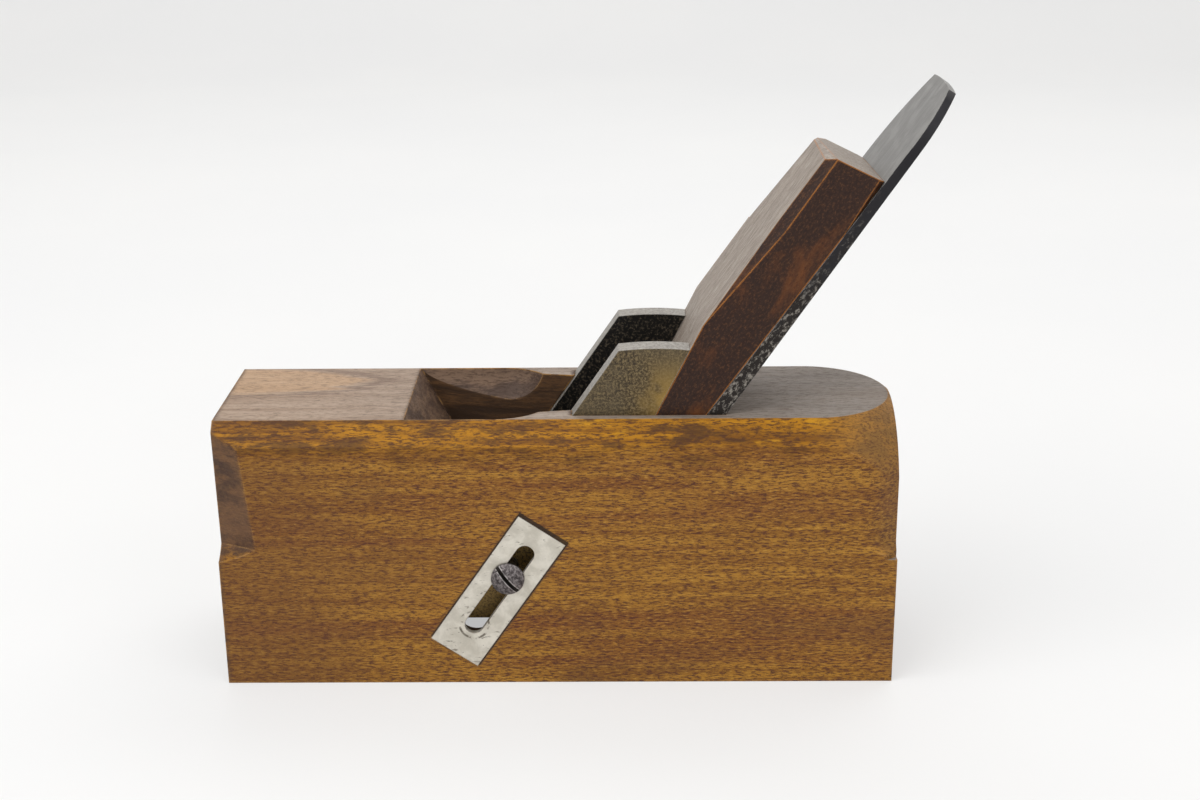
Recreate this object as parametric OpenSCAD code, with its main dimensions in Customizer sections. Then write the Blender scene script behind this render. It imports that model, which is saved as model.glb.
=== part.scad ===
// Chamfer plane: a beech stock with a 90 degree vee along its sole, and a metal box that slides
// up and down the bed in the mortise, carrying the wedge and the iron. The box's sole is the roof
// of the vee, so its height sets the width of the chamfer, and one screw in a slot locks it.
// Millimetres. +X runs from toe to heel, +Y away from the slotted side, +Z up.
// The origin is on the vee's centre line, in the plane of the sole, at mid length.

/* [Stock] */
// Length of the stock
stock_len = 178; // [170:1:190]
// Width of the stock
stock_w = 54; // [52:1:60]
// Height of the stock
stock_h = 73; // [70:1:80]
// Width and depth of the chamfer along both top edges
edge_chamfer = 5.6; // [3:0.2:7]
// Width of the vee at the sole
vee_w = 36; // [30:1:37]

/* [Toe] */
// Length of a toe chamfer along the side of the stock, at its stop
toe_cut_x = 10.4; // [6:0.2:14]
// Length of a toe chamfer across the end of the stock, at its stop
toe_cut_y = 4.9; // [3:0.1:7]
// How far a toe chamfer leans in towards the top, in degrees
toe_cut_lean = 2.5; // [0:0.1:5]
// Height of the stops of the toe and heel cuts on the upright edges
stop_z = 35.4; // [30:0.2:45]
// Radius of the gouge that cut the toe stops
toe_gouge_r = 12; // [8:1:16]

/* [Heel] */
// Radius of the heel rounding in side view, from the top face down
heel_arc_r = 30; // [26:0.5:34]
// Height at which the heel rounding is widest
heel_wide_z = 49.3; // [46:0.1:52]
// Radius of the heel in plan at that height
heel_wide_r = 33.1; // [30:0.1:36]
// Distance from the end of the stock to the centre of the heel rounding
heel_centre_in = 22; // [20:0.5:26]
// Radius of the upright heel corners in plan
heel_corner_r = 20; // [12:1:24]
// Length of a heel corner along the side of the stock
heel_corner_x = 11.5; // [8:0.5:16]
// Radius of the gouge that cut the heel stops
heel_gouge_r = 5; // [3:0.5:8]

/* [Throat] */
// Distance from the toe to the front edge of the throat, on the top face
throat_x = 49.7; // [45:0.1:55]
// Slope of the front wall of the throat, in degrees above the sole
breast_angle = 60; // [55:1:70]
// Half width of the throat where it meets the box
throat_half = 14.4; // [13:0.1:15]
// How far each side wall of the throat flares out towards the toe, in degrees
throat_flare = 10.9; // [5:0.1:14]
// Radius of the gouge that hollowed the top of each side wall
scoop_r = 14.75; // [12:0.25:18]
// Distance of the hollow's centre line from the middle of the stock
scoop_y = 7; // [5:0.1:9]
// Height of the hollow's centre line above the top face
scoop_up = 3.5; // [2:0.1:6]
// Distance from the toe to the centre of the hollow's round end
scoop_end_x = 73; // [70:0.5:76]

/* [Slide] */
// Pitch of the bed and of the box's travel, in degrees above the sole
bed_angle = 55.5; // [50:0.5:60]
// Distance from the toe to the bed, on the top face
bed_x = 133.2; // [128:0.2:138]
// Distance from the toe to the front edges of the cheeks, on the top face
cheek_x = 93.3; // [90:0.1:98]
// Play between the box and the mortise
box_play = 0.1; // [0.05:0.05:0.3]

/* [Box] */
// Width of the box over both cheeks
box_w = 37.4; // [36:0.2:38]
// Thickness of a cheek
cheek_t = 6.2; // [5:0.1:7]
// Height of the cheeks above the top face
cheek_rise = 18.1; // [15:0.1:22]
// Radius of the crown on top of the cheeks
cheek_crown_r = 80; // [60:5:200]
// Distance from the toe to the wedge's abutments on the cheeks, on the top face
abutment_x = 114.9; // [112:0.1:118]
// Pitch of the abutments, in degrees above the sole
abutment_angle = 63.5; // [62:0.1:65]
// Height of the box's sole above the sole of the stock
box_z = 15.1; // [14:0.1:17]
// Thickness of the sole plate between the cheeks
sole_plate_t = 6; // [4:0.5:8]
// Gap of the mouth in front of the cutting edge
mouth_gap = 1.6; // [1.4:0.1:3]
// Thickness of the front plate between the cheeks
front_plate_t = 3; // [2:0.5:4]
// Height of the top of the front plate
front_plate_z = 40; // [34:1:44]

/* [Lock] */
// Distance from the toe to the middle of the slot
slot_x = 73.6; // [70:0.1:76]
// Height of the middle of the slot
slot_z = 27.2; // [25:0.1:30]
// Distance between the centres of the slot's round ends
slot_travel = 24.5; // [20:0.5:26]
// Width of the slot in the plate
slot_w = 5; // [4.8:0.1:6]
// Width of the slot in the wood behind the plate
wood_slot_w = 10; // [9:0.5:12]
// Length, width and thickness of the slotted plate
plate_size = [42.5, 14.7, 1.6];
// How far the plate's middle lies below the slot's middle, along the slide
plate_drop = 0.8; // [0:0.1:2]
// Diameter of the screw's shank
screw_d = 4.7; // [4:0.1:4.7]
// Diameter of the screw's head
head_d = 8.8; // [8:0.1:10]
// Height of the screw's head
head_h = 2.3; // [1.5:0.1:3]
// How far the screw stands above the slot's middle, along the slide
screw_up = 4.1; // [-10:0.1:10]
// Direction of the driver slot, in degrees from the toe-to-heel line
driver_slot_angle = -52; // [-90:1:90]

/* [Iron] */
// Width of the iron
iron_w = 37.4; // [35:0.1:37.6]
// Thickness of the iron at the cutting edge
iron_edge_t = 5.5; // [4:0.1:5.5]
// Thickness of the iron at the top
iron_top_t = 2.1; // [1.5:0.1:3]
// How far the iron stands out above the top face, along the bed
iron_up = 99.6; // [90:0.1:110]
// How far the cutting edge stands out below the box's sole
edge_out = 0.4; // [0.2:0.1:1]
// Angle of the cutting bevel, in degrees
bevel_angle = 30; // [25:1:35]
// Radius of the iron's shoulder on the slotted side
near_shoulder_r = 22; // [20:0.5:30]
// Distance of the start of that shoulder from the top of the iron
near_shoulder_down = 16.6; // [12:0.2:18]
// Radius of the shoulder on the other side
far_shoulder_r = 55; // [50:1:80]
// Distance of the start of the other shoulder from the top of the iron
far_shoulder_down = 29.5; // [24:0.5:32]
// Radius of the curve of the iron's top end
iron_crown_r = 110; // [80:5:200]

/* [Wedge] */
// Thickness from the bed to the wedge's front face, at the top of the wedge
wedge_top_t = 18; // [16:0.1:20]
// How far the wedge's front face stands out above the top face, along the bed
wedge_up = 68; // [60:0.5:75]
// How far the back of the wedge's top end rises above its front, along the bed
wedge_top_slope = 4; // [3:0.1:6]
// Width of the bevel along the front of the top end
wedge_bevel = 2; // [1:0.1:2.8]
// How far the top end slopes down to the far side, in degrees
wedge_top_skew = 2; // [0:0.5:4]
// Height of the cut-out between the wedge's legs, along the bed, below the top face
crotch_down = 22; // [18:1:30]
// Distance from the top face to the tips of the legs, along the bed
tip_down = 62; // [55:1:64]

/* [Hidden] */
$fn = 96;

// Past any face that is cut
over = 60;
// Gap between faces that slide on each other
slide_gap = 0.05;
toe = -stock_len / 2;
heel = stock_len / 2;
half_w = stock_w / 2;
half_vee = vee_w / 2;
half_box = box_w / 2;
half_mortise = half_box + box_play;
cheek_in = half_box - cheek_t;

// Where a line along the slide, or along the abutments, stands at height z
function slide_x(x, z) = toe + x + (z - stock_h) / tan(bed_angle);
function abutment_line(z) = toe + abutment_x + (z - stock_h) / tan(abutment_angle);

// The slide's own axes: s runs up the bed from the top face, t stands out from the bed towards the toe
abutment_s = (abutment_x - bed_x) * cos(bed_angle);
abutment_t = (bed_x - abutment_x) * sin(bed_angle);
wedge_angle = abutment_angle - bed_angle;
edge_s = (box_z - edge_out - stock_h - iron_edge_t * cos(bed_angle)) / sin(bed_angle);
bevel_s = edge_s + iron_edge_t / tan(bevel_angle);
edge_x = toe + bed_x + edge_s * cos(bed_angle) - iron_edge_t * sin(bed_angle);
iron_taper = (iron_edge_t - iron_top_t) / (iron_up - edge_s);
function abutment_at(s) = abutment_t + (s - abutment_s) * tan(wedge_angle);
function iron_face_at(s) = iron_edge_t - (s - edge_s) * iron_taper;
// The wedge's two front faces meet where its thickness stops growing
bend_s = 16.2;

// The screw's place on the near side
screw_x = toe + slot_x + screw_up * cos(bed_angle);
screw_z = slot_z + screw_up * sin(bed_angle);

// An outline drawn in X and Z, given a width about the middle of the stock
module across(width) {
    rotate([90, 0, 0])
        linear_extrude(height = width, center = true)
            children();
}

// The slide's own axes, with s along X and t along Z
module on_bed() {
    translate([toe + bed_x, 0, stock_h])
        rotate([0, -bed_angle, 0])
            children();
}

// The middle of the slot on the near face, with X along the slide and Z into the stock
module on_slot() {
    translate([toe + slot_x, -half_w, slot_z])
        rotate([0, -bed_angle, 0])
            rotate([-90, 0, 0])
                children();
}

// A shape on both sides of the stock
module both_sides() {
    children();
    mirror([0, 1, 0]) children();
}

module round_slot(width) {
    for (end = [-1, 1])
        translate([end * slot_travel / 2, 0])
            circle(d = width);
    square([slot_travel, width], center = true);
}

// The block, with its long top edges chamfered
module block() {
    difference() {
        translate([toe, -half_w, 0])
            cube([stock_len, stock_w, stock_h]);
        both_sides()
            translate([0, half_w - edge_chamfer, stock_h])
                rotate([-45, 0, 0])
                    translate([-stock_len, -over / 2, 0])
                        cube([2 * stock_len, over, over]);
    }
}

// What the rounding leaves of the heel: a dome, all that is ahead of its centre, and all below the stops
module heel_limit() {
    arc_r = heel_wide_r - heel_arc_r;
    translate([toe - 1, -half_w - 1, -1])
        cube([stock_len - heel_centre_in + 1, stock_w + 2, stock_h + 2]);
    translate([toe - 1, -half_w - 1, -1])
        cube([stock_len + 2, stock_w + 2, stop_z + 1]);
    translate([heel - heel_centre_in, 0, 0])
        rotate_extrude() {
            translate([0, -1])
                square([heel_wide_r, heel_wide_z + 1]);
            intersection() {
                translate([arc_r, heel_wide_z])
                    circle(r = heel_arc_r);
                translate([0, heel_wide_z])
                    square([heel_wide_r, heel_arc_r]);
            }
            square([arc_r, heel_wide_z + heel_arc_r]);
        }
}

// One upright heel corner, taken off above its stop
module heel_corner_cut() {
    reach = 3 * heel_corner_r;
    translate([heel - heel_corner_x, half_w - heel_corner_r, stop_z])
        intersection() {
            rotate_extrude()
                difference() {
                    translate([heel_corner_r, 0])
                        square([reach, over]);
                    difference() {
                        translate([heel_corner_r - 1, 0])
                            square([heel_gouge_r + 1, heel_gouge_r]);
                        translate([heel_corner_r + heel_gouge_r, heel_gouge_r])
                            circle(r = heel_gouge_r);
                    }
                }
            cube([reach, reach, over]);
        }
}

// One upright toe corner, taken off flat above a hollow stop
module toe_corner_cut() {
    turn = atan2(toe_cut_y, toe_cut_x);
    depth = toe_cut_x * toe_cut_y / norm([toe_cut_x, toe_cut_y]);
    chord = norm([depth, depth * 0.85]);
    rise = sqrt(toe_gouge_r * toe_gouge_r - chord * chord / 4);
    centre_out = depth / 2 + rise * depth * 0.85 / chord;
    centre_up = depth * 0.85 / 2 + rise * depth / chord;
    translate([toe, half_w, stop_z])
        rotate([0, 0, turn])
            translate([0, -depth, 0])
                intersection() {
                    rotate([-toe_cut_lean, 0, 0])
                        translate([-over / 2, 0, -over / 2])
                            cube([over, over, 2 * over]);
                    union() {
                        translate([-over / 2, centre_out, centre_up])
                            rotate([0, 90, 0])
                                cylinder(r = toe_gouge_r, h = over);
                        translate([-over / 2, -1, centre_up])
                            cube([over, over, 2 * over]);
                    }
                }
}

// The space the box slides in, from the sole to the top face
module mortise() {
    front = cheek_x - box_play / sin(bed_angle);
    across(2 * half_mortise)
        polygon([
            [slide_x(front, -1), -1],
            [slide_x(bed_x, -1), -1],
            [slide_x(bed_x, stock_h + 1), stock_h + 1],
            [slide_x(front, stock_h + 1), stock_h + 1]
        ]);
}

// Everything on the heel side of the throat's front wall
module behind_breast() {
    across(2 * half_w)
        polygon([
            [toe + throat_x, stock_h],
            [toe + throat_x + stock_h / tan(breast_angle), 0],
            [toe + cheek_x + over, 0],
            [toe + cheek_x + over, stock_h + over],
            [toe + throat_x, stock_h + over]
        ]);
}

// The shavings' way out: side walls that follow the slide and flare towards the toe, and a sloping front
module throat() {
    reach = 60;
    flared = throat_half + reach * tan(throat_flare);
    intersection() {
        translate([toe + cheek_x, 0, stock_h])
            rotate([0, -bed_angle, 0])
                rotate([0, 90, 0])
                    linear_extrude(height = 2 * over, center = true)
                        polygon([
                            [0.5, -throat_half],
                            [0.5, throat_half],
                            [0, throat_half],
                            [-reach, flared],
                            [-reach, -flared],
                            [0, -throat_half]
                        ]);
        behind_breast();
    }
}

// The gouged hollow along the top of one side wall of the throat
module scoop() {
    translate([toe + scoop_end_x, scoop_y, stock_h + scoop_up]) {
        sphere(r = scoop_r);
        rotate([0, -90, 0])
            cylinder(r = scoop_r, h = scoop_end_x - throat_x);
    }
}

module stock() {
    color("peru")
        difference() {
            intersection() {
                block();
                heel_limit();
            }
            both_sides() {
                heel_corner_cut();
                toe_corner_cut();
                intersection() {
                    scoop();
                    behind_breast();
                    translate([toe, 0, 0])
                        cube([cheek_x, half_w, stock_h + over]);
                }
            }
            rotate([45, 0, 0])
                cube([2 * stock_len, vee_w / sqrt(2), vee_w / sqrt(2)], center = true);
            mortise();
            throat();
            on_slot() {
                translate([-plate_drop, 0, 0])
                    cube([plate_size.x, plate_size.y, 2 * plate_size.z], center = true);
                linear_extrude(height = half_w - half_mortise + 1)
                    round_slot(wood_slot_w);
            }
        }
}

module slot_plate() {
    color("lightgray")
        on_slot()
            difference() {
                translate([-plate_drop, 0, plate_size.z / 2])
                    cube(plate_size, center = true);
                translate([0, 0, -1])
                    linear_extrude(height = plate_size.z + 2)
                        round_slot(slot_w);
            }
}

module locking_screw() {
    shank = half_w - cheek_in - 0.4;
    rim = 0.6;
    dome_r = (pow(head_d / 2, 2) + pow(head_h - rim, 2)) / (2 * (head_h - rim));
    color("dimgray")
        translate([screw_x, -half_w, screw_z])
            rotate([90, 0, 0])
                difference() {
                    union() {
                        translate([0, 0, -shank])
                            cylinder(d = screw_d, h = shank + 1);
                        translate([0, 0, slide_gap])
                            cylinder(d = head_d, h = rim);
                        intersection() {
                            translate([0, 0, slide_gap + head_h - dome_r])
                                sphere(r = dome_r);
                            translate([0, 0, slide_gap])
                                cylinder(d = head_d, h = head_h);
                        }
                    }
                    rotate([0, 0, driver_slot_angle])
                        translate([-head_d, -0.45, head_h - 1])
                            cube([2 * head_d, 0.9, 3]);
                }
}

// One cheek of the box, between its front edge and the abutment
module cheek() {
    top = stock_h + cheek_rise;
    middle = (slide_x(cheek_x, top) + abutment_line(top)) / 2;
    rotate([90, 0, 0])
        linear_extrude(height = cheek_t)
            intersection() {
                polygon([
                    [slide_x(cheek_x, box_z), box_z],
                    [abutment_line(box_z), box_z],
                    [abutment_line(top + 1), top + 1],
                    [slide_x(cheek_x, top + 1), top + 1]
                ]);
                union() {
                    translate([middle, top - cheek_crown_r])
                        circle(r = cheek_crown_r);
                    translate([toe, 0])
                        square([stock_len, stock_h]);
                }
            }
}

module near_cheek() {
    color("darkkhaki")
        difference() {
            translate([0, -cheek_in, 0])
                cheek();
            translate([screw_x, 0, screw_z])
                rotate([90, 0, 0])
                    cylinder(r = screw_d / 2 + slide_gap, h = stock_w);
        }
}

module far_cheek() {
    color("gray")
        translate([0, half_box, 0])
            cheek();
}

module box_sole_plate() {
    top = box_z + sole_plate_t;
    lip = edge_x - mouth_gap;
    color("gray")
        across(2 * cheek_in)
            polygon([
                [slide_x(cheek_x, box_z), box_z],
                [lip, box_z],
                [lip - sole_plate_t / tan(breast_angle), top],
                [slide_x(cheek_x, top), top]
            ]);
}

module box_front_plate() {
    bottom = box_z + sole_plate_t;
    back = cheek_x + front_plate_t / sin(bed_angle);
    color("gray")
        across(2 * cheek_in)
            polygon([
                [slide_x(cheek_x, bottom), bottom],
                [slide_x(back, bottom), bottom],
                [slide_x(back, front_plate_z), front_plate_z],
                [slide_x(cheek_x, front_plate_z), front_plate_z]
            ]);
}

// A flat cut along a front edge of the wedge: it starts at nothing and deepens up the bed
module fading_cut(start, roll, deepen) {
    translate(start)
        rotate([roll, 0, 0])
            rotate([0, deepen, 0])
                translate([0, -10, 0])
                    cube([1.5 * over, 20, 10]);
}

// The same cut, no deeper than a given depth
module level_cut(start, roll, deepen, depth) {
    intersection() {
        fading_cut(start, roll, deepen);
        translate(start)
            rotate([roll, 0, 0])
                translate([0, -10, -depth])
                    cube([1.5 * over, 20, 20]);
    }
}

// What is cut off the wedge's top end, which slopes to the back and to the far side
module wedge_end_cut() {
    slope = atan2(wedge_top_slope - wedge_bevel, wedge_top_t - wedge_bevel - iron_top_t);
    translate([wedge_up + wedge_bevel, -half_box, wedge_top_t - wedge_bevel])
        rotate([0, -slope, 0])
            rotate([0, 0, wedge_top_skew])
                translate([0, -over, -over])
                    cube([over, 2 * over, 2 * over]);
}

module wedge() {
    top_s = wedge_up + wedge_top_slope + 2;
    back = iron_face_at(top_s) + 2 * slide_gap;
    tip_back = iron_face_at(-tip_down) + 2 * slide_gap;
    half_wedge = half_box - slide_gap;
    notch = 2 * cheek_in;
    color("saddlebrown")
        on_bed()
            difference() {
                across(2 * half_wedge)
                    polygon([
                        [-tip_down, tip_back],
                        [top_s, back],
                        [top_s, wedge_top_t - wedge_bevel],
                        [wedge_up + wedge_bevel, wedge_top_t - wedge_bevel],
                        [wedge_up, wedge_top_t],
                        [bend_s, abutment_at(bend_s) - slide_gap],
                        [-tip_down, abutment_at(-tip_down) - slide_gap]
                    ]);
                wedge_end_cut();
                level_cut([bend_s, -half_wedge, abutment_at(bend_s)], 40, 4.2, 2.3);
                mirror([0, 1, 0])
                    fading_cut([bend_s + 24, -half_wedge, wedge_top_t], 25, 7.5);
                both_sides()
                    mirror([0, 0, 1])
                        fading_cut([top_s - 25, -half_wedge, -back], 45, 2.6);
                translate([-crotch_down - notch / 2, 0, -1]) {
                    cylinder(d = notch, h = over);
                    translate([-over, -notch / 2, 0])
                        cube([over, notch, over]);
                }
            }
}

// One rounded shoulder of the iron, with all that is below it
module shoulder(side, radius, down) {
    start = iron_up - down;
    reach = iron_w + radius;
    mirror([0, side, 0])
        union() {
            translate([start, radius - iron_w / 2])
                circle(r = radius);
            translate([edge_s - 1, -iron_w / 2])
                square([start - edge_s + 1, reach]);
            translate([edge_s - 1, radius - iron_w / 2])
                square([start - edge_s + 1 + radius, reach]);
        }
}

module iron_outline() {
    intersection() {
        shoulder(0, near_shoulder_r, near_shoulder_down);
        shoulder(1, far_shoulder_r, far_shoulder_down);
        translate([edge_s - 1, -iron_w / 2])
            square([iron_up - edge_s + 2, iron_w]);
        union() {
            translate([iron_up - iron_crown_r, 1])
                circle(r = iron_crown_r);
            translate([edge_s - 1, -iron_w / 2])
                square([-edge_s, iron_w]);
        }
    }
}

module iron() {
    color("slategray")
        on_bed()
            translate([0, 0, slide_gap])
                intersection() {
                    across(iron_w + 2)
                        polygon([
                            [edge_s, iron_edge_t],
                            [bevel_s, 0],
                            [iron_up + 1, 0],
                            [iron_up + 1, iron_top_t],
                            [iron_up, iron_top_t]
                        ]);
                    translate([0, 0, -1])
                        linear_extrude(height = iron_edge_t + 2)
                            iron_outline();
                }
}

stock();
slot_plate();
locking_screw();
near_cheek();
far_cheek();
box_sole_plate();
box_front_plate();
wedge();
iron();
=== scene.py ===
"""Looks of the chamfer plane: its materials, the paper that it stands on, the lamps and the camera.

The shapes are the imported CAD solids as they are. Lengths are in metres unless a name says otherwise.
"""
import math

import bpy
from mathutils import Matrix, Vector

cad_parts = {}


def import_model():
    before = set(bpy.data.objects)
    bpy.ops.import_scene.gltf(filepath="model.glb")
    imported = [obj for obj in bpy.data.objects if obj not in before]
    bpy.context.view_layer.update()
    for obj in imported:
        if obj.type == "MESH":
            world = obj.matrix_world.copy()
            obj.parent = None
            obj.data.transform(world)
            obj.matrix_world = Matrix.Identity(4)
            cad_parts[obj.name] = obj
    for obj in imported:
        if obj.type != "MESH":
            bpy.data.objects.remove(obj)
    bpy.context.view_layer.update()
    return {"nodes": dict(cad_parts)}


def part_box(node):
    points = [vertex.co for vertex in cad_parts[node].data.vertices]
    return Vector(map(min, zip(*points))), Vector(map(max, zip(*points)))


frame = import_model()

MM = 0.001

# Camera of the photograph, fitted to the straight edges that it shows
CAMERA_PLACE_MM = (17.31, -449.83, 227.28)
CAMERA_PITCH_DEG = 19.19
CAMERA_YAW_DEG = -0.77
CAMERA_ROLL_DEG = -0.55
FOCAL_PX = 1765.2
IMAGE_WIDTH_PX = 1200
SENSOR_MM = 36.0
NEAREST_SEEN = 10 * MM

# Paper: a flat sheet that bends up behind the object
PAPER_FRONT = -3.5
PAPER_BACK = 1.5
PAPER_HALF_WIDTH = 4.0
PAPER_RISE = 1.6
PAPER_BEND = 0.5
PAPER_BEND_STEPS = 12
PAPER_DROP = 0.1 * MM
PAPER_DARK = (0.86, 0.86, 0.86)
PAPER_LIGHT = (0.90, 0.895, 0.885)
# Pale tones that the camera sees on the paper and past it, and the share of the paper's own tone that
# doesn't depend on the lamps
PAPER_SEEN = (0.885, 0.885, 0.885, 1.0)
WORLD_SEEN = (0.885, 0.885, 0.880, 1.0)
PAPER_GLOW = 0.55

# Lamps, all aimed at one point of the object, with their sizes and their power in watts
LAMP_AIM = (0, 0, 50 * MM)
LAMPS = {
    "key": {"place": (-0.55, -0.45, 0.95), "size": (0.9, 0.9), "power": 7.6},
    "fill": {"place": (0.75, -0.75, 0.60), "size": (0.9, 0.9), "power": 3.2},
    "rim": {"place": (0.2, 0.6, 0.9), "size": (1.2, 0.6), "power": 4.0},
}
WORLD_COLOR = (1.0, 0.99, 0.97, 1.0)
WORLD_STRENGTH = 0.55


def middle_from_side(node):
    """Middle of a CAD node in the side view: its x and z."""
    low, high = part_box(node)
    return (low.x + high.x) / 2, (low.z + high.z) / 2


# Places on the object that its wear and colours follow
BED_ANGLE = math.radians(55.5)
STOCK_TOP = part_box("stock")[1].z
CHAMFER_FOOT = STOCK_TOP - 5.6 * MM
THROAT_FRONT = -39.5 * MM
THROAT_BACK = 50 * MM
THROAT_HALF = 21.3 * MM
CHEEK_MIDDLE_Y = 15.6 * MM
SLOT_MIDDLE = (-15.4 * MM, 27.2 * MM)
SLOT_HALF_TRAVEL = 12.25 * MM
SLOT_END = (SLOT_MIDDLE[0] - SLOT_HALF_TRAVEL * math.cos(BED_ANGLE),
            SLOT_MIDDLE[1] - SLOT_HALF_TRAVEL * math.sin(BED_ANGLE))
SLOT_WEAR_RADIUS = 3.9 * MM
# The dark outline is as long as the plate, but its middle is the slot's. The plate's middle is 0.8 mm
# lower along the bed, so the outline is wider past the plate's upper end, and hidden at its lower end.
OUTLINE_HALF_LENGTH = 21.25 * MM
OUTLINE_HALF_WIDTH = 7.35 * MM
OUTLINE_GAP = 0.5 * MM
SCREW_MIDDLE = middle_from_side("locking_screw")
DRIVER_ANGLE = math.radians(-52)
DRIVER_HALF_WIDTH = 0.45 * MM
DRIVER_LIP = 0.9 * MM

# Where the beech's stains and fades start and end, and how far their edges wander. The figure's ring is
# given as a share of the figure's own size.
GRAIN_SLANT = (0, 0.05, 0)
TOE_STAIN_X = (-30 * MM, -80 * MM)
TOE_STAIN_WANDER = 20 * MM
TOP_FADE_X = (-80 * MM, 60 * MM)
FIGURE_MIDDLE = (-95 * MM, 10 * MM)
FIGURE_HALF = (40 * MM, 11 * MM)
FIGURE_WANDER = 0.25
RING_AT = 1.12
RING_HALF_WIDTH = 0.12
HEEL_FADE_X = (62 * MM, 84 * MM)
CHAMFER_STAIN_Z = (61 * MM, 69 * MM)
CHAMFER_STAIN_WANDER = 3 * MM
END_FADE_X = (30 * MM, 70 * MM)

# Where the metals' colours change
RUST_Z = (124 * MM, 96 * MM)
RUST_WANDER = 12 * MM
BRASS_X = (16 * MM, 30 * MM)
BRASS_Z = (92 * MM, 74 * MM)
# Below this height, the cheek's outer face seen through the slot gets painted light, as if lit from above
# through the slot
SLOT_LIGHT_Z = (44 * MM, 40 * MM)

BEECH = {
    "side_dark": (0.215, 0.088, 0.011),
    "side_light": (0.350, 0.165, 0.020),
    "side_band": (0.165, 0.054, 0.012),
    "side_fleck": (0.062, 0.018, 0.014),
    "side_pore": (0.030, 0.012, 0.010),
    "side_ray": (0.500, 0.270, 0.050),
    "side_stain": (0.085, 0.034, 0.016),
    "toe_stain": (0.105, 0.040, 0.016),
    "top_pale_toe": (0.385, 0.285, 0.212),
    "top_pale_heel": (0.292, 0.248, 0.212),
    "top_dark_toe": (0.270, 0.182, 0.124),
    "top_dark_heel": (0.205, 0.172, 0.148),
    "top_figure": (0.480, 0.300, 0.165),
    "top_ring": (0.190, 0.125, 0.090),
    "top_fleck": (0.115, 0.082, 0.062),
    "top_stain": (0.170, 0.120, 0.085),
    "amber_dark": (0.180, 0.066, 0.001),
    "amber_light": (0.400, 0.170, 0.002),
    "amber_shade": (0.060, 0.020, 0.004),
    "amber_burn": (0.040, 0.015, 0.005),
    "amber_bright": (0.560, 0.270, 0.008),
    "amber_heel": (0.400, 0.200, 0.040),
    "amber_fleck": (0.085, 0.030, 0.010),
    "end_light": (0.118, 0.060, 0.030),
    "end_dark": (0.042, 0.024, 0.018),
    "well_dark": (0.036, 0.019, 0.010),
    "well_light": (0.105, 0.052, 0.022),
    # painted light: mottled pale and dark tones for the throat's slopes that face up
    "well_lit_pale": (0.215, 0.135, 0.088),
    "well_lit_dark": (0.085, 0.052, 0.038),
    "well_fleck": (0.030, 0.016, 0.010),
    "arris": (0.520, 0.285, 0.095),
    # painted shade in the gap round the inlaid plate
    "plate_outline": (0.014, 0.009, 0.006),
}

WEDGE = {
    "side_dark": (0.026, 0.011, 0.007),
    "side_red": (0.120, 0.038, 0.009),
    "side_speck": (0.115, 0.048, 0.017),
    "side_pore": (0.012, 0.006, 0.005),
    "face_dark": (0.225, 0.182, 0.150),
    "face_light": (0.365, 0.318, 0.275),
    "face_pore": (0.125, 0.092, 0.070),
    "face_fibre": (0.540, 0.500, 0.450),
    "arris": (0.480, 0.175, 0.030),
}

IRON = {
    "face_dark": (0.200, 0.192, 0.182),
    "face_light": (0.310, 0.302, 0.292),
    "face_brushed": (0.360, 0.356, 0.348),
    "scratch": (0.110, 0.102, 0.096),
    "side_black": (0.022, 0.018, 0.016),
    "side_blue": (0.022, 0.021, 0.024),
    "side_rust": (0.250, 0.228, 0.200),
    "arris": (0.480, 0.460, 0.430),
}

PLATE = {
    "dark": (0.500, 0.468, 0.400),
    "light": (0.680, 0.645, 0.570),
    "scuff": (0.150, 0.125, 0.095),
    "dent": (0.100, 0.085, 0.070),
    "slot_wear": (0.110, 0.092, 0.070),
    "edge": (0.150, 0.120, 0.090),
}

SCREW = {
    "dark": (0.048, 0.040, 0.041),
    "light": (0.215, 0.192, 0.190),
    "lip": (0.640, 0.600, 0.580),
    "arris": (0.480, 0.440, 0.430),
    # painted shade: near black in the driver slot's recess
    "slot": (0.012, 0.009, 0.007),
}

CHEEK = {
    "outer_dark": (0.034, 0.024, 0.014),
    "outer_light": (0.190, 0.140, 0.070),
    "outer_cloud": (0.120, 0.092, 0.052),
    "brass": (0.330, 0.205, 0.045),
    # painted light: the brassy cheek as lit through the slot
    "brass_lit_in_slot": (0.420, 0.270, 0.085),
    "inner_black": (0.008, 0.007, 0.006),
    "inner_brown": (0.110, 0.088, 0.060),
    "rim_dark": (0.190, 0.172, 0.150),
    "rim_light": (0.380, 0.355, 0.320),
    "arris": (0.560, 0.530, 0.480),
}


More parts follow.
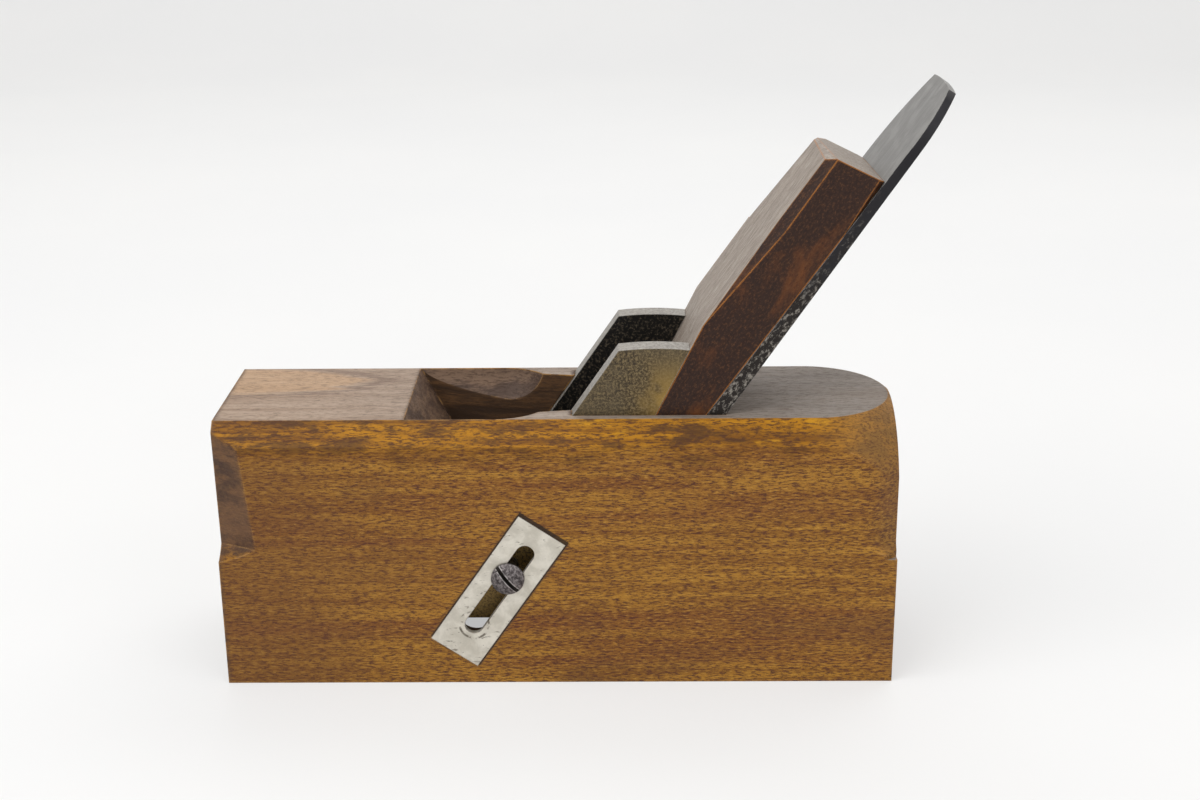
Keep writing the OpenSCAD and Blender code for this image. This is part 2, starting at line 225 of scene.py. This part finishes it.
class Look:
    """A node material in the making: each method adds nodes and returns an output socket.

    Where a method takes a value, start and end, its result runs smoothly from the first outcome
    to the second while the value goes from start to end.
    """

    def __init__(self, name):
        self.material = bpy.data.materials.new(name)
        self.material.use_nodes = True
        self.tree = self.material.node_tree
        self.shader = self.tree.nodes["Principled BSDF"]
        self.coords = self.tree.nodes.new("ShaderNodeTexCoord").outputs["Object"]

    def put(self, socket, value):
        """Link a socket to an input, or set the input to a number or a color."""
        if isinstance(value, bpy.types.NodeSocket):
            self.tree.links.new(value, socket)
        elif isinstance(value, (tuple, list)) and len(value) == 3 and socket.type == "RGBA":
            socket.default_value = (*value, 1.0)
        else:
            socket.default_value = value

    def math(self, operation, a, b=0.0):
        node = self.tree.nodes.new("ShaderNodeMath")
        node.operation = operation
        self.put(node.inputs[0], a)
        self.put(node.inputs[1], b)
        return node.outputs[0]

    def plus(self, a, b):
        return self.math("ADD", a, b)

    def minus(self, a, b):
        return self.math("SUBTRACT", a, b)

    def size(self, a):
        return self.math("ABSOLUTE", a)

    def times(self, first, *others):
        product = first
        for other in others:
            product = self.math("MULTIPLY", product, other)
        return product

    def ramp(self, value, start, end, low=0.0, high=1.0):
        """A number that goes from low to high."""
        node = self.tree.nodes.new("ShaderNodeMapRange")
        node.interpolation_type = "SMOOTHSTEP"
        self.put(node.inputs["Value"], value)
        node.inputs["From Min"].default_value = start
        node.inputs["From Max"].default_value = end
        node.inputs["To Min"].default_value = low
        node.inputs["To Max"].default_value = high
        return node.outputs["Result"]

    def mix(self, share, below, above):
        node = self.tree.nodes.new("ShaderNodeMix")
        node.data_type = "RGBA"
        self.put(node.inputs["Factor"], share)
        self.put(node.inputs["A"], below)
        self.put(node.inputs["B"], above)
        return next(output for output in node.outputs if output.type == "RGBA")

    def between(self, first, second, value, start, end):
        """A color that goes from the first to the second."""
        return self.mix(self.ramp(value, start, end), first, second)

    def cover(self, below, above, value, start, end, most=1.0):
        """A color laid over another, from not at all up to the share that most gives."""
        return self.mix(self.ramp(value, start, end, 0.0, most), below, above)

    def speckle(self, scale, detail, rough, distortion=0.0, vector=None):
        """Noise of one scale in every direction."""
        node = self.tree.nodes.new("ShaderNodeTexNoise")
        self.put(node.inputs["Vector"], vector or self.coords)
        node.inputs["Scale"].default_value = scale
        node.inputs["Detail"].default_value = detail
        node.inputs["Roughness"].default_value = rough
        node.inputs["Distortion"].default_value = distortion
        return node.outputs["Fac"]

    def mapped(self, scale=(1, 1, 1), turn=(0, 0, 0), move=(0, 0, 0), source=None):
        node = self.tree.nodes.new("ShaderNodeMapping")
        self.put(node.inputs["Vector"], source or self.coords)
        node.inputs["Scale"].default_value = scale
        node.inputs["Rotation"].default_value = turn
        node.inputs["Location"].default_value = move
        return node.outputs["Vector"]

    def grain(self, scale, detail, rough, distortion=0.0, turn=(0, 0, 0), move=(0, 0, 0), source=None):
        """Noise drawn out along an axis: the larger a scale, the finer the noise is that way."""
        vector = self.mapped(scale, turn, move, source)
        return self.speckle(1.0, detail, rough, distortion, vector)

    def split(self, vector=None):
        node = self.tree.nodes.new("ShaderNodeSeparateXYZ")
        self.put(node.inputs[0], vector or self.coords)
        return node.outputs

    def rounded(self, radius, samples):
        """The normal as if the arrises were rounded."""
        node = self.tree.nodes.new("ShaderNodeBevel")
        node.samples = samples
        node.inputs["Radius"].default_value = radius
        return node.outputs["Normal"]

    def normal_axes(self):
        geometry = self.tree.nodes.new("ShaderNodeNewGeometry")
        return self.split(geometry.outputs["Normal"])

    def soft_axes(self, radius):
        """The normal's three parts, which turn slowly across an arris."""
        return self.split(self.rounded(radius, 8))

    def edges(self, radius, sharp=0.35):
        """1 on an arris, 0 on a flat: how far the rounded normal is from the true one."""
        geometry = self.tree.nodes.new("ShaderNodeNewGeometry")
        dot = self.tree.nodes.new("ShaderNodeVectorMath")
        dot.operation = "DOT_PRODUCT"
        self.put(dot.inputs[0], self.rounded(radius, 6))
        self.put(dot.inputs[1], geometry.outputs["Normal"])
        flat = 0.999
        return self.ramp(dot.outputs["Value"], flat, 1.0 - sharp)

    def distance(self, parts, middle, half=(1.0, 1.0)):
        """Distance from a middle point, or 1 on an ellipse where its half sizes are given."""
        squares = []
        for part, centre, scale in zip(parts, middle, half):
            scaled = self.math("DIVIDE", self.minus(part, centre), scale)
            squares.append(self.times(scaled, scaled))
        return self.math("SQRT", self.plus(*squares))

    def off_line(self, place, middle, angle):
        """Distance from a line in the side view, through a middle point at an angle to the x axis."""
        right = self.minus(place["X"], middle[0])
        up = self.minus(place["Z"], middle[1])
        return self.size(self.minus(self.times(up, math.cos(angle)), self.times(right, math.sin(angle))))

    def bump(self, height, distance, strength, radius):
        """Bump over the surface and over its arrises, which look rounded to a radius."""
        node = self.tree.nodes.new("ShaderNodeBump")
        self.put(node.inputs["Normal"], self.rounded(radius, 4))
        self.put(node.inputs["Height"], height)
        node.inputs["Distance"].default_value = distance
        node.inputs["Strength"].default_value = strength
        return node.outputs["Normal"]

    def finish(self, color, rough, normal, metallic=0.0, specular=0.5):
        self.put(self.shader.inputs["Base Color"], color)
        self.put(self.shader.inputs["Roughness"], rough)
        self.put(self.shader.inputs["Normal"], normal)
        self.shader.inputs["Specular IOR Level"].default_value = specular
        self.shader.inputs["Metallic"].default_value = metallic
        return self.material


def beech_grain(look):
    """Noises that the beech's surfaces share, from long streaks to single pores."""
    return {
        "streaks": look.grain((16, 260, 420), detail=4, rough=0.6, distortion=0.8, turn=GRAIN_SLANT),
        "bands": look.grain((6, 60, 90), detail=3, rough=0.5, distortion=0.8, turn=GRAIN_SLANT),
        "flecks": look.grain((420, 1700, 2300), detail=4, rough=0.75, turn=GRAIN_SLANT),
        "pores": look.grain((1100, 2600, 3400), detail=2, rough=0.7, move=(3, 1, 2)),
        "stains": look.grain((16, 30, 34), detail=4, rough=0.55, distortion=0.5),
        "burns": look.grain((70, 150, 230), detail=5, rough=0.7, distortion=0.3, move=(0, 5, 1)),
    }


def beech_side(look, grain, place):
    """Orange-brown side with dark flecks and pale rays, stained towards the toe."""
    color = look.between(BEECH["side_dark"], BEECH["side_light"], grain["streaks"], 0.34, 0.66)
    color = look.cover(color, BEECH["side_band"], grain["bands"], 0.45, 0.64, most=0.6)
    color = look.cover(color, BEECH["side_fleck"], grain["flecks"], 0.505, 0.565, most=0.8)
    color = look.cover(color, BEECH["side_pore"], grain["pores"], 0.58, 0.66, most=0.7)
    color = look.cover(color, BEECH["side_ray"], grain["flecks"], 0.45, 0.34, most=0.62)
    color = look.cover(color, BEECH["side_stain"], grain["stains"], 0.54, 0.70, most=0.42)
    wander = look.ramp(grain["stains"], 0.3, 0.7, -TOE_STAIN_WANDER, TOE_STAIN_WANDER)
    wavy_x = look.plus(place["X"], wander)
    return look.cover(color, BEECH["toe_stain"], wavy_x, *TOE_STAIN_X, most=0.42)


def beech_top(look, grain, place):
    """Bleached top, browner at the toe, with a pale oval figure inside a dark growth ring."""
    dark = look.between(BEECH["top_dark_toe"], BEECH["top_dark_heel"], place["X"], *TOP_FADE_X)
    pale = look.between(BEECH["top_pale_toe"], BEECH["top_pale_heel"], place["X"], *TOP_FADE_X)
    color = look.between(dark, pale, grain["streaks"], 0.30, 0.70)
    oval = look.distance((place["X"], place["Y"]), FIGURE_MIDDLE, FIGURE_HALF)
    oval = look.plus(oval, look.ramp(grain["bands"], 0.3, 0.7, -FIGURE_WANDER, FIGURE_WANDER))
    color = look.cover(color, BEECH["top_figure"], oval, 1.04, 0.90, most=0.6)
    off_ring = look.size(look.minus(oval, RING_AT))
    color = look.cover(color, BEECH["top_ring"], off_ring, RING_HALF_WIDTH, 0.0, most=0.75)
    color = look.cover(color, BEECH["top_fleck"], grain["flecks"], 0.505, 0.58, most=0.5)
    return look.cover(color, BEECH["top_stain"], grain["stains"], 0.52, 0.70, most=0.35)


def beech_chamfer(look, grain, place):
    """Amber chamfer, mottled with dark burns, browner round the heel."""
    color = look.between(BEECH["amber_dark"], BEECH["amber_light"], grain["streaks"], 0.34, 0.66)
    color = look.cover(color, BEECH["amber_shade"], grain["flecks"], 0.47, 0.60, most=0.75)
    color = look.cover(color, BEECH["amber_burn"], grain["burns"], 0.47, 0.60, most=0.72)
    color = look.cover(color, BEECH["amber_bright"], grain["burns"], 0.42, 0.30, most=0.6)
    color = look.cover(color, BEECH["amber_heel"], place["X"], *HEEL_FADE_X, most=0.6)
    return look.cover(color, BEECH["amber_fleck"], grain["flecks"], 0.505, 0.575, most=0.6)


def beech_well(look, grain, axes):
    """Dark walls of the throat and mortise, with painted light that makes the slopes facing up paler."""
    color = look.between(BEECH["well_dark"], BEECH["well_light"], grain["streaks"], 0.35, 0.68)
    # Painted light on the slopes that face up, as where light from above falls into the throat
    slope = look.between(BEECH["well_lit_pale"], BEECH["well_lit_dark"], grain["burns"], 0.42, 0.60)
    color = look.cover(color, slope, axes["Z"], 0.12, 0.30, most=0.85)
    return look.cover(color, BEECH["well_fleck"], grain["flecks"], 0.50, 0.58, most=0.5)


def on_chamfer(look, grain, place, soft):
    """1 on the long chamfer, fading out in the stained strip below it."""
    sloped = look.ramp(soft["Z"], 0.20, 0.60)
    wander = look.ramp(grain["burns"], 0.3, 0.7, -CHAMFER_STAIN_WANDER, CHAMFER_STAIN_WANDER)
    wavy_z = look.plus(place["Z"], wander)
    stained = look.ramp(wavy_z, *CHAMFER_STAIN_Z, high=0.75)
    return look.math("MAXIMUM", sloped, stained)


def on_end(look, place, soft):
    """How far the surface faces the toe or the heel, less at the heel, where the amber stays."""
    facing = look.ramp(look.size(soft["X"]), 0.14, 0.46)
    return look.times(facing, look.ramp(place["X"], *END_FADE_X, low=0.85, high=0.30))


def in_throat(look, place):
    """1 on the walls of the throat and mortise, 0 outside."""
    step = 0.3 * MM
    from_front = look.ramp(place["X"], THROAT_FRONT, THROAT_FRONT + step)
    to_back = look.ramp(place["X"], THROAT_BACK, THROAT_BACK + 2 * MM, low=1.0, high=0.0)
    across = look.ramp(look.size(place["Y"]), THROAT_HALF, THROAT_HALF + step, low=1.0, high=0.0)
    top = STOCK_TOP - 0.1 * MM
    below_top = look.ramp(place["Z"], top - step, top, low=1.0, high=0.0)
    return look.times(from_front, to_back, across, below_top)


def on_worn_arris(look, place):
    """Broken wear on the arrises, but not on the soft one at the chamfer's foot."""
    off_foot = look.size(look.minus(place["Z"], CHAMFER_FOOT))
    arris = look.times(look.edges(0.7 * MM, sharp=0.10), look.ramp(off_foot, 0.8 * MM, 1.8 * MM))
    worn = look.ramp(look.speckle(260, detail=4, rough=0.65), 0.42, 0.58)
    return look.times(arris, worn, 0.75)


def in_plate_outline(look, place, axes):
    """The thin dark outline in the near side, round the inlaid plate: a dark joint painted as the shade
    in the gap between plate and wood.
    """
    past_end = look.minus(look.off_line(place, SLOT_MIDDLE, BED_ANGLE - math.pi / 2), OUTLINE_HALF_LENGTH)
    past_side = look.minus(look.off_line(place, SLOT_MIDDLE, BED_ANGLE), OUTLINE_HALF_WIDTH)
    # Painted shade: a dark line just outside the plate's edges, as in the gap where the plate meets the
    # wood
    gap = look.ramp(look.math("MAXIMUM", past_end, past_side), OUTLINE_GAP, 0.4 * OUTLINE_GAP)
    on_near_side = look.ramp(axes["Y"], -0.95, -0.99)
    return look.times(gap, on_near_side, 0.9)


def beech():
    look = Look("beech")
    place = look.split()
    axes = look.normal_axes()
    soft = look.soft_axes(2.2 * MM)
    grain = beech_grain(look)
    side = beech_side(look, grain, place)
    chamfer = beech_chamfer(look, grain, place)
    color = look.mix(on_chamfer(look, grain, place, soft), side, chamfer)
    color = look.cover(color, beech_top(look, grain, place), axes["Z"], 0.93, 0.985)
    end = look.between(BEECH["end_light"], BEECH["end_dark"], grain["burns"], 0.40, 0.62)
    color = look.mix(on_end(look, place, soft), color, end)
    color = look.mix(in_throat(look, place), color, beech_well(look, grain, axes))
    color = look.mix(on_worn_arris(look, place), color, BEECH["arris"])
    color = look.mix(in_plate_outline(look, place, axes), color, BEECH["plate_outline"])
    rough = look.ramp(grain["flecks"], 0.3, 0.7, low=0.40, high=0.60)
    height = look.plus(look.times(grain["streaks"], 0.4), look.times(grain["flecks"], 0.6))
    normal = look.bump(height, distance=0.4 * MM, strength=0.55, radius=0.8 * MM)
    return look.finish(color, rough, normal, specular=0.22)


def wedge_beech():
    """Bleached fibrous faces, dark red-brown sides and orange arrises; the grain runs up the bed."""
    look = Look("wedge_beech")
    along = look.mapped(turn=(0, BED_ANGLE, 0))
    axes = look.normal_axes()
    streaks = look.grain((26, 420, 520), detail=5, rough=0.65, distortion=0.8, source=along)
    mottle = look.grain((38, 90, 90), detail=5, rough=0.6, distortion=0.4, source=along)
    specks = look.grain((900, 1500, 1500), detail=4, rough=0.75, source=along)
    fibres = look.grain((300, 1700, 1900), detail=4, rough=0.75, source=along)
    face = look.between(WEDGE["face_dark"], WEDGE["face_light"], streaks, 0.33, 0.68)
    face = look.cover(face, WEDGE["face_pore"], fibres, 0.50, 0.60, most=0.55)
    face = look.cover(face, WEDGE["face_fibre"], fibres, 0.45, 0.32, most=0.4)
    side = look.between(WEDGE["side_dark"], WEDGE["side_red"], mottle, 0.50, 0.74)
    side = look.cover(side, WEDGE["side_speck"], specks, 0.50, 0.64, most=0.5)
    side = look.cover(side, WEDGE["side_pore"], specks, 0.47, 0.36, most=0.6)
    color = look.cover(face, side, look.size(axes["Y"]), 0.45, 0.62)
    worn = look.ramp(look.speckle(240, detail=3, rough=0.6), 0.28, 0.46)
    arris = look.times(look.edges(0.6 * MM, sharp=0.07), worn, 0.85)
    color = look.mix(arris, color, WEDGE["arris"])
    rough = look.ramp(streaks, 0.3, 0.7, low=0.45, high=0.65)
    height = look.plus(look.times(streaks, 0.4), look.times(fibres, 0.6))
    normal = look.bump(height, distance=0.4 * MM, strength=0.5, radius=0.6 * MM)
    return look.finish(color, rough, normal, specular=0.22)


def iron_steel():
    """Brushed and scratched grey faces, and black sides that are rusty low down."""
    look = Look("iron_steel")
    place = look.split()
    axes = look.normal_axes()
    along = look.mapped(turn=(0, BED_ANGLE, 0))
    mottle = look.speckle(230, detail=5, rough=0.65, distortion=0.3)
    brushed = look.grain((30, 700, 700), detail=3, rough=0.6, source=along)
    scratches = look.grain((60, 1900, 1900), detail=3, rough=0.7, source=along)
    rust = look.grain((500, 900, 900), detail=5, rough=0.8, source=along)
    face = look.between(IRON["face_dark"], IRON["face_light"], mottle, 0.35, 0.68)
    face = look.cover(face, IRON["face_brushed"], brushed, 0.45, 0.70, most=0.25)
    face = look.cover(face, IRON["scratch"], scratches, 0.56, 0.68, most=0.5)
    rusty = look.between(IRON["side_black"], IRON["side_rust"], rust, 0.50, 0.62)
    wavy_z = look.plus(place["Z"], look.ramp(mottle, 0.3, 0.7, -RUST_WANDER, RUST_WANDER))
    side = look.between(IRON["side_blue"], rusty, wavy_z, *RUST_Z)
    color = look.cover(face, side, look.size(axes["Y"]), 0.55, 0.80)
    arris = look.times(look.edges(0.4 * MM), look.ramp(mottle, 0.42, 0.58, high=0.6))
    color = look.mix(arris, color, IRON["arris"])
    rough = look.ramp(mottle, 0.3, 0.7, low=0.36, high=0.54)
    height = look.plus(look.times(brushed, 0.3), look.times(mottle, 0.7))
    normal = look.bump(height, distance=0.2 * MM, strength=0.4, radius=0.3 * MM)
    return look.finish(color, rough, normal, metallic=0.75)


def plate_steel():
    """Pale plate with scuffs and dents, and broken rings of wear round the slot's lower end."""
    look = Look("plate_steel")
    place = look.split()
    mottle = look.speckle(190, detail=5, rough=0.65, distortion=0.3)
    scuffs = look.grain((260, 900, 900), detail=4, rough=0.7, turn=(0, 0.6, 0))
    dents = look.grain((520, 520, 520), detail=3, rough=0.6, move=(7, 1, 4))
    color = look.between(PLATE["dark"], PLATE["light"], mottle, 0.35, 0.68)
    color = look.cover(color, PLATE["scuff"], scuffs, 0.60, 0.68, most=0.75)
    color = look.cover(color, PLATE["dent"], dents, 0.66, 0.71, most=0.8)
    from_slot_end = look.distance((place["X"], place["Z"]), SLOT_END)
    off_ring = look.size(look.minus(from_slot_end, SLOT_WEAR_RADIUS))
    broken = look.ramp(look.speckle(420, detail=2, rough=0.6), 0.42, 0.56)
    ring = look.times(look.ramp(off_ring, 0.45 * MM, 0.12 * MM), broken)
    color = look.mix(look.times(ring, 0.9), color, PLATE["slot_wear"])
    color = look.mix(look.edges(0.4 * MM), color, PLATE["edge"])
    rough = look.ramp(mottle, 0.3, 0.7, low=0.34, high=0.50)
    height = look.minus(look.times(scuffs, 0.3), look.times(ring, 0.8))
    normal = look.bump(height, distance=0.2 * MM, strength=0.5, radius=0.3 * MM)
    return look.finish(color, rough, normal, metallic=0.6)


def screw_steel():
    """Dark pitted head with bright lips, and its driver slot painted near black as shade."""
    look = Look("screw_steel")
    place = look.split()
    mottle = look.speckle(1300, detail=5, rough=0.7, distortion=0.3)
    color = look.between(SCREW["dark"], SCREW["light"], mottle, 0.40, 0.62)
    off_slot = look.off_line(place, SCREW_MIDDLE, DRIVER_ANGLE)
    near_slot = look.ramp(off_slot, DRIVER_LIP, DRIVER_HALF_WIDTH)
    lips = look.times(near_slot, look.ramp(mottle, 0.36, 0.52), 0.8)
    color = look.mix(lips, color, SCREW["lip"])
    color = look.mix(look.times(look.edges(0.4 * MM), 0.55), color, SCREW["arris"])
    # Painted shade: the driver slot, and a little past its edges, near black as the shade in the recess
    color = look.cover(color, SCREW["slot"], off_slot, 1.25 * DRIVER_HALF_WIDTH, 1.05 * DRIVER_HALF_WIDTH)
    rough = look.ramp(mottle, 0.3, 0.7, low=0.28, high=0.46)
    normal = look.bump(mottle, distance=0.3 * MM, strength=0.7, radius=0.3 * MM)
    return look.finish(color, rough, normal, metallic=0.8)


def cheek_metal():
    """Brown patina on the outer faces, brassy by the wedge, brassy with painted light low down where the
    slot shows them, black inside, pale rims.
    """
    look = Look("cheek_metal")
    place = look.split()
    axes = look.normal_axes()
    mottle = look.speckle(1500, detail=5, rough=0.75)
    clouds = look.speckle(90, detail=4, rough=0.6)
    outer = look.between(CHEEK["outer_dark"], CHEEK["outer_light"], mottle, 0.43, 0.61)
    outer = look.cover(outer, CHEEK["outer_cloud"], clouds, 0.42, 0.62, most=0.45)
    by_wedge = look.times(look.ramp(place["X"], *BRASS_X), look.ramp(place["Z"], *BRASS_Z))
    brassy = look.times(by_wedge, look.ramp(clouds, 0.36, 0.56, low=0.25, high=0.9))
    outer = look.mix(brassy, outer, CHEEK["brass"])
    # Painted light on the cheek's lower outer face, where light from above falls in through the slot
    in_slot = look.ramp(place["Z"], *SLOT_LIGHT_Z)
    slot_light = look.times(in_slot, look.ramp(mottle, 0.40, 0.56, low=0.2, high=0.95))
    outer = look.mix(slot_light, outer, CHEEK["brass_lit_in_slot"])
    inner = look.between(CHEEK["inner_black"], CHEEK["inner_brown"], mottle, 0.50, 0.64)
    face = look.between(inner, outer, look.size(place["Y"]), CHEEK_MIDDLE_Y, CHEEK_MIDDLE_Y + 0.1 * MM)
    rim = look.between(CHEEK["rim_dark"], CHEEK["rim_light"], mottle, 0.40, 0.60)
    color = look.between(rim, face, look.size(axes["Y"]), 0.5, 0.8)
    color = look.mix(look.times(look.edges(0.5 * MM), 0.7), color, CHEEK["arris"])
    rough = look.ramp(mottle, 0.3, 0.7, low=0.38, high=0.58)
    normal = look.bump(mottle, distance=0.2 * MM, strength=0.5, radius=0.4 * MM)
    return look.finish(color, rough, normal, metallic=0.55)


def seen_rays(tree):
    """1 for the rays that show the background: to the camera, in a gloss or through glass."""
    path = tree.nodes.new("ShaderNodeLightPath")
    total = path.outputs["Is Camera Ray"]
    for kind in ("Is Glossy Ray", "Is Transmission Ray"):
        node = tree.nodes.new("ShaderNodeMath")
        node.operation = "ADD"
        node.use_clamp = True
        tree.links.new(total, node.inputs[0])
        tree.links.new(path.outputs[kind], node.inputs[1])
        total = node.outputs[0]
    return total


def blend_shaders(tree, share, lit, seen, output):
    """Show one shader by the share of seen rays, and light the scene with the other."""
    blend = tree.nodes.new("ShaderNodeMixShader")
    tree.links.new(share, blend.inputs["Fac"])
    tree.links.new(lit, blend.inputs[1])
    tree.links.new(seen, blend.inputs[2])
    tree.links.new(blend.outputs["Shader"], tree.nodes[output].inputs["Surface"])


def paper_white():
    """Matt paper that lights the object as white, and shows pale with the object's shadow on it."""
    look = Look("paper_white")
    speck = look.speckle(4, detail=3, rough=0.5)
    look.put(look.shader.inputs["Base Color"], look.between(PAPER_DARK, PAPER_LIGHT, speck, 0.3, 0.7))
    look.shader.inputs["Roughness"].default_value = 0.9
    glow = look.tree.nodes.new("ShaderNodeEmission")
    glow.inputs["Color"].default_value = PAPER_SEEN
    share = look.times(seen_rays(look.tree), PAPER_GLOW)
    lit = look.shader.outputs["BSDF"]
    blend_shaders(look.tree, share, lit, glow.outputs["Emission"], "Material Output")
    return look.material


def dress():
    """Give every CAD node its material."""
    looks = {
        "stock": beech(),
        "wedge": wedge_beech(),
        "iron": iron_steel(),
        "slot_plate": plate_steel(),
        "locking_screw": screw_steel(),
    }
    box_look = cheek_metal()
    for name in ("near_cheek", "far_cheek", "box_sole_plate", "box_front_plate"):
        looks[name] = box_look
    for name, material in looks.items():
        for slot in frame["nodes"][name].material_slots:
            slot.material = material


def backdrop():
    """The paper's side view is a floor, a quarter round and a wall, drawn out across the scene."""
    profile = [(PAPER_FRONT, 0.0), (PAPER_BACK - PAPER_BEND, 0.0)]
    for step in range(1, PAPER_BEND_STEPS + 1):
        angle = math.pi / 2 * step / PAPER_BEND_STEPS
        bend_y = PAPER_BACK - PAPER_BEND + PAPER_BEND * math.sin(angle)
        bend_z = PAPER_BEND - PAPER_BEND * math.cos(angle)
        profile.append((bend_y, bend_z))
    profile.append((PAPER_BACK, PAPER_RISE))
    corners = [(x, y, z) for y, z in profile for x in (-PAPER_HALF_WIDTH, PAPER_HALF_WIDTH)]
    faces = [(2 * i, 2 * i + 1, 2 * i + 3, 2 * i + 2) for i in range(len(profile) - 1)]
    mesh = bpy.data.meshes.new("paper")
    mesh.from_pydata(corners, [], faces)
    for polygon in mesh.polygons:
        polygon.use_smooth = True
    paper = bpy.data.objects.new("paper", mesh)
    paper.location.z = -PAPER_DROP
    bpy.context.scene.collection.objects.link(paper)
    paper.data.materials.append(paper_white())


def lamps():
    for name, values in LAMPS.items():
        data = bpy.data.lights.new(name, "AREA")
        data.shape = "RECTANGLE"
        data.size, data.size_y = values["size"]
        data.energy = values["power"]
        light = bpy.data.objects.new(name, data)
        light.location = values["place"]
        direction = Vector(LAMP_AIM) - Vector(values["place"])
        light.rotation_euler = direction.to_track_quat("-Z", "Y").to_euler()
        bpy.context.scene.collection.objects.link(light)


def world():
    """Soft light from all round, which the camera sees as the same pale tone as the paper."""
    scene = bpy.context.scene
    scene.view_settings.view_transform = "Standard"
    scene.world = bpy.data.worlds.new("studio")
    scene.world.use_nodes = True
    tree = scene.world.node_tree
    light = tree.nodes["Background"]
    light.inputs["Color"].default_value = WORLD_COLOR
    light.inputs["Strength"].default_value = WORLD_STRENGTH
    pale = tree.nodes.new("ShaderNodeBackground")
    pale.inputs["Color"].default_value = WORLD_SEEN
    lit = light.outputs["Background"]
    blend_shaders(tree, seen_rays(tree), lit, pale.outputs["Background"], "World Output")


def camera():
    pitch = math.radians(CAMERA_PITCH_DEG)
    yaw = math.radians(CAMERA_YAW_DEG)
    roll = math.radians(CAMERA_ROLL_DEG)
    forward = Vector((math.sin(yaw) * math.cos(pitch), math.cos(yaw) * math.cos(pitch), -math.sin(pitch)))
    level_right = Vector((math.cos(yaw), -math.sin(yaw), 0.0))
    level_up = level_right.cross(forward)
    right = level_right * math.cos(roll) + level_up * math.sin(roll)
    up = level_up * math.cos(roll) - level_right * math.sin(roll)
    turn = Matrix((right, up, -forward)).transposed().to_4x4()
    data = bpy.data.cameras.new("camera")
    data.sensor_fit = "HORIZONTAL"
    data.sensor_width = SENSOR_MM
    data.lens = FOCAL_PX * SENSOR_MM / IMAGE_WIDTH_PX
    data.clip_start = NEAREST_SEEN
    eye = bpy.data.objects.new("camera", data)
    eye.matrix_world = Matrix.Translation(Vector(CAMERA_PLACE_MM) * MM) @ turn
    bpy.context.scene.collection.objects.link(eye)
    bpy.context.scene.camera = eye


camera()
world()
backdrop()
lamps()
dress()
